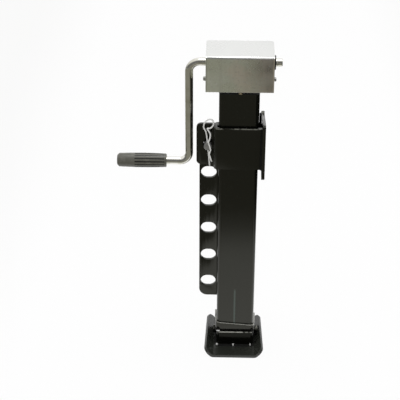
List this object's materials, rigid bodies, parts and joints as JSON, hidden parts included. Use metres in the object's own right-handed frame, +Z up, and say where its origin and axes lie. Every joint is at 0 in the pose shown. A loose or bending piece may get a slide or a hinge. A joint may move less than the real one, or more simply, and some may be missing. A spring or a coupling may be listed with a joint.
{
  "type": "trailer prop stand",
  "caption": "Square telescopic prop stand wound by a side crank through a bevel-gear head, pinned through a slotted strip in a plate-mounted collar, on a folded foot.",
  "frame": {"origin": "the middle of the foot's sole, on the leg's axis, with the leg wound in", "axes": "+Z up the leg; +X away from the crank, out of the mounting plate; +Y to the back, away from the lock pin's clip"},
  "size_m": [0.2485, 0.116, 0.518],
  "materials": {
    "black_paint": "gloss black paint over steel",
    "zinc_sheet": "zinc-plated folded sheet, dull",
    "zinc_steel": "zinc-plated steel",
    "bright_steel": "bright zinc-plated round bar and wire",
    "pin_steel": "dull zinc-plated steel",
    "bronze": "plain bearing bronze",
    "bearing_steel": "hardened bright steel",
    "gear_steel": "machined and greased steel",
    "grip_plastic": "dark grey moulded plastic"
  },
  "bodies": {
    "collar": {"mounting_plate": "black_paint", "front_strap": "black_paint", "rear_strap": "black_paint", "collar_welds": "black_paint"},
    "pin": {"lock_pin": "pin_steel"},
    "clip": {"r_clip": "bright_steel"},
    "outer_leg": {"outer_tube": "black_paint", "end_band": "black_paint", "slot_strip": "black_paint", "head_weld": "black_paint", "bearing_plate": "black_paint", "cheek_plates": "black_paint", "shaft_bushes": "bronze", "screw_bush": "bronze", "upper_race": "bearing_steel", "bearing_balls": "bearing_steel", "head_cover": "zinc_sheet", "cover_ends": "zinc_sheet", "cover_screws": "zinc_steel"},
    "crank": {"crank_rod": "bright_steel", "bevel_pinion": "gear_steel", "pinion_pin": "bearing_steel", "shaft_washer": "zinc_steel", "shaft_pin": "zinc_steel", "grip_ring": "bearing_steel"},
    "grip": {"hand_grip": "grip_plastic"},
    "screw": {"lead_screw": "gear_steel", "bevel_gear": "gear_steel", "gear_pin": "bearing_steel", "lower_race": "bearing_steel", "stop_ring": "gear_steel", "stop_pin": "bearing_steel"},
    "inner_leg": {"inner_tube": "zinc_steel", "nut_plate": "zinc_steel", "screw_nut": "bronze", "foot_socket": "black_paint", "foot_pan": "black_paint", "foot_bolt": "zinc_steel", "foot_washer": "zinc_steel", "foot_nut": "zinc_steel"}
  },
  "joints": [
    {"name": "leg_shift", "type": "slide", "parent": "collar", "child": "outer_leg", "axis": [0, 0, 1], "range_m": [-0.0029, 0.0049]},
    {"name": "pin_slide", "type": "slide", "parent": "collar", "child": "pin", "axis": [0, 1, 0], "range_m": [0, 0.0045]},
    {"name": "clip_pull", "type": "slide", "parent": "pin", "child": "clip", "axis": [-0.0872, 0, 0.9962], "range_m": [0, 0.042]},
    {"name": "crank_turn", "type": "hinge", "parent": "outer_leg", "child": "crank", "pos_m": [0, 0, 0.4965], "axis": [1, 0, 0], "range_deg": [0, 54000]},
    {"name": "screw_spin", "type": "hinge", "parent": "outer_leg", "child": "screw", "pos_m": [0, 0, 0.4], "axis": [0, 0, 1], "range_deg": [0, 27000]},
    {"name": "leg_extend", "type": "slide", "parent": "outer_leg", "child": "inner_leg", "axis": [0, 0, -1], "range_m": [0, 0.3]},
    {"name": "grip_spin", "type": "hinge", "parent": "crank", "child": "grip", "pos_m": [-0.15, 0, 0.332], "axis": [1, 0, 0], "continuous": true}
  ],
  "couplings": [
    {"joint": "screw_spin", "follows": "crank_turn", "ratio": 0.5},
    {"joint": "leg_extend", "follows": "crank_turn", "m_per_rad": 0.0003183}
  ]
}
